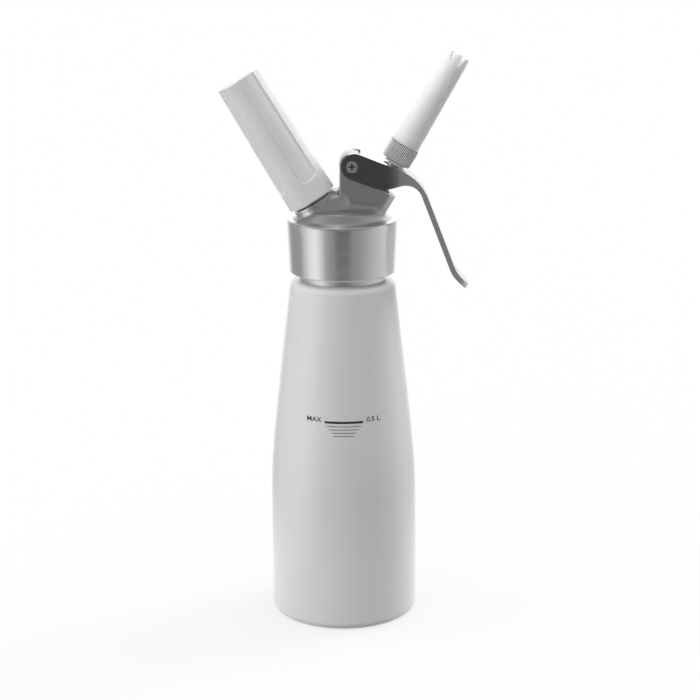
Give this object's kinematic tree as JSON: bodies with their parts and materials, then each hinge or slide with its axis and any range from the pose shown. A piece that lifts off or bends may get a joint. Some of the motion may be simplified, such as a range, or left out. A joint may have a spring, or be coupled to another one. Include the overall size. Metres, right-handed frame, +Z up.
{
  "type": "whipped cream dispenser",
  "caption": "Pressure bottle with a screwed head, a gas charger in its fluted holder, a squeeze lever, a spring valve and a fluted decorator tip.",
  "frame": {"origin": "centre of the bottle's base, on the surface that it stands on", "axes": "+Z up along the bottle; the lever and the decorator tip lean towards +X, the charger holder towards -X"},
  "size_m": [0.1323, 0.08, 0.3102],
  "materials": {
    "white_lacquer": "glossy white lacquer over drawn aluminium",
    "cast_aluminium": "satin cast surface, fine turned lines on the collar",
    "turned_aluminium": "turned",
    "polished_lever": "polished, dark reflections",
    "stainless_steel": "bright turned steel",
    "charger_steel": "lacquered deep-drawn steel",
    "charger_foil": "thin plain steel disc",
    "brass_fitting": "turned brass",
    "white_plastic": "moulded, semi-gloss white",
    "tip_plastic": "moulded, semi-gloss white",
    "white_silicone": "soft matt silicone",
    "black_rubber": "matt"
  },
  "bodies": {
    "bottle": {"bottle": "white_lacquer"},
    "gasket": {"head_gasket": "white_silicone"},
    "head": {"head_casting": "cast_aluminium", "piercing_pin": "brass_fitting", "charger_seal": "white_silicone", "check_valve_sleeve": "black_rubber", "pivot_sleeve_nut": "stainless_steel", "pivot_screw": "stainless_steel", "stem_o_rings": "black_rubber", "guide_bush": "white_plastic", "valve_spring": "stainless_steel"},
    "charger": {"gas_charger": "charger_steel", "charger_cap": "charger_foil"},
    "holder": {"charger_holder": "white_plastic", "holder_insert": "turned_aluminium", "holder_pad": "black_rubber"},
    "lever": {"lever": "polished_lever"},
    "valve": {"valve_stem": "stainless_steel", "valve_head": "stainless_steel", "valve_seal": "black_rubber", "press_washer": "stainless_steel", "stem_nut": "stainless_steel"},
    "tip_washer": {"adaptor_washer": "black_rubber"},
    "tip": {"tip_adaptor": "tip_plastic", "decorator_tip": "tip_plastic"}
  },
  "joints": [
    {"name": "head_lift", "type": "slide", "parent": "bottle", "child": "gasket", "axis": [0, 0, 1], "range_m": [0, 0.012]},
    {"name": "head_turn", "type": "hinge", "parent": "gasket", "child": "head", "pos_m": [0, 0, 0.2145], "axis": [0, 0, 1], "range_deg": [0, 1440]},
    {"name": "charger_slide", "type": "slide", "parent": "head", "child": "charger", "axis": [-0.515, 0, 0.8572], "range_m": [0, 0.012]},
    {"name": "holder_turn", "type": "hinge", "parent": "charger", "child": "holder", "pos_m": [0, 0, 0.2045], "axis": [-0.515, 0, 0.8572], "range_deg": [0, 2160]},
    {"name": "lever_squeeze", "type": "hinge", "parent": "head", "child": "lever", "pos_m": [0.0051, 0, 0.25], "axis": [0, 1, 0], "range_deg": [0, 10], "stiffness_Nm_per_rad": 0.8, "springref_deg": -8.59},
    {"name": "valve_press", "type": "slide", "parent": "head", "child": "valve", "axis": [-0.515, 0, -0.8572], "range_m": [0, 0.00343], "deforming": ["valve_spring"]},
    {"name": "tip_lift", "type": "slide", "parent": "valve", "child": "tip_washer", "axis": [0.515, 0, 0.8572], "range_m": [0, 0.005]},
    {"name": "tip_turn", "type": "hinge", "parent": "tip_washer", "child": "tip", "pos_m": [0, 0, 0.2045], "axis": [0.515, 0, 0.8572], "range_deg": [0, 1800]}
  ],
  "couplings": [
    {"joint": "head_lift", "follows": "head_turn", "m_per_rad": 0.00047746},
    {"joint": "charger_slide", "follows": "holder_turn", "m_per_rad": 0.00031831},
    {"joint": "valve_press", "follows": "lever_squeeze", "m_per_rad": 0.01965},
    {"joint": "tip_lift", "follows": "tip_turn", "m_per_rad": 0.00015915}
  ]
}
